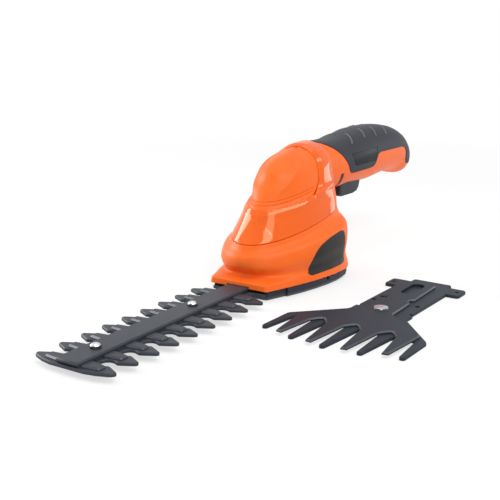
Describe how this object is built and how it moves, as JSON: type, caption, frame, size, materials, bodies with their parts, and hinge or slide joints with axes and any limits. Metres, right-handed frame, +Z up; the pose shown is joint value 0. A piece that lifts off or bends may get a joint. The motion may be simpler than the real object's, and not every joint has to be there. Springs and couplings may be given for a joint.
{
  "type": "grass shears",
  "caption": "Cordless grass shear and shrubber: domed body with a top handle and trigger, a double-sided toothed blade in its nose and a loose fan-tined shear blade",
  "frame": {"origin": "On the floor, in the middle plane of the body, under the hump where the sole rests", "axes": "+Z up; the fitted blade points along -X and the handle along +X; +Y is the tool's right side"},
  "size_m": [0.4018, 0.1747, 0.0944],
  "materials": {
    "orange_shell": "satin",
    "orange_hood": "gloss",
    "dark_moulding": "matte",
    "badge": "gloss",
    "soft_grip": "matte",
    "coated_blade": "satin",
    "bright_steel": "bright",
    "steel": "brushed",
    "bronze": "sintered",
    "winding": "enamelled",
    "nylon": "matte",
    "board": "satin",
    "cell_sleeve": "satin"
  },
  "bodies": {
    "body": {"left_shell": "orange_shell", "right_shell": "orange_shell", "motor_hood": "orange_hood", "hood_cap": "orange_shell", "base_plate": "dark_moulding", "grip_overmould": "soft_grip", "grip_badges": "badge", "side_badges": "badge", "trigger_pin": "steel", "trigger_spring": "steel", "switch_body": "dark_moulding", "cell_cradle": "nylon", "battery_cells": "cell_sleeve", "cell_contacts": "steel", "circuit_board": "board", "charge_socket": "dark_moulding", "gearbox_frame": "nylon", "motor_can": "steel", "motor_endbell": "dark_moulding", "motor_screws": "steel", "crank_bushes": "bronze", "latch_spring": "steel", "housing_screws": "steel", "shrubber_comb": "coated_blade", "blade_bar": "coated_blade", "bar_screws": "bright_steel", "bar_nuts": "steel", "bar_spacers": "steel"},
    "crank": {"drive_gear": "steel", "crank_shaft": "steel", "crank_pin": "steel", "crank_roller": "bronze", "shaft_circlip": "steel"},
    "rotor": {"motor_shaft": "steel", "motor_armature": "winding", "pinion": "bronze"},
    "cutter": {"shrubber_cutter": "coated_blade"},
    "trigger": {"trigger": "dark_moulding"},
    "lock": {"lock_button": "dark_moulding"},
    "latch": {"base_latch": "dark_moulding"},
    "shear": {"shear_comb": "coated_blade", "shear_pivot": "bright_steel"},
    "shear_blade": {"shear_cutter": "coated_blade"}
  },
  "joints": [
    {"name": "crank_spin", "type": "hinge", "parent": "body", "child": "crank", "pos_m": [-0.00804, 0, 0.0155], "axis": [0, 0, 1], "continuous": true},
    {"name": "rotor_spin", "type": "hinge", "parent": "body", "child": "rotor", "pos_m": [0.01297, 0, 0.016], "axis": [0, 0, 1], "continuous": true},
    {"name": "cutter_slide", "type": "slide", "parent": "body", "child": "cutter", "axis": [1, 0, 0], "range_m": [-0.005, 0.005]},
    {"name": "trigger_squeeze", "type": "hinge", "parent": "body", "child": "trigger", "pos_m": [0.08246, 0, 0.0615], "axis": [0, -1, 0], "range_deg": [0, 8], "stiffness_Nm_per_rad": 0.6, "springref_deg": -3.44, "deforming": ["trigger_spring"]},
    {"name": "lock_push", "type": "slide", "parent": "body", "child": "lock", "axis": [0, 1, 0], "range_m": [0, 0.003], "stiffness_N_per_m": 300, "springref_m": -0.001},
    {"name": "latch_slide", "type": "slide", "parent": "body", "child": "latch", "axis": [1, 0, 0], "range_m": [0, 0.004], "stiffness_N_per_m": 500, "springref_m": -0.001, "deforming": ["latch_spring"]},
    {"name": "shear_lift", "type": "slide", "parent": "body", "child": "shear", "axis": [0, 0, 1], "range_m": [0, 0.15]},
    {"name": "shear_swing", "type": "hinge", "parent": "shear", "child": "shear_blade", "pos_m": [-0.02633, -0.09208, 0.0028], "axis": [0, 0, 1], "range_deg": [-8.6, 4]}
  ],
  "couplings": [
    {"joint": "rotor_spin", "follows": "crank_spin", "ratio": -4}
  ]
}
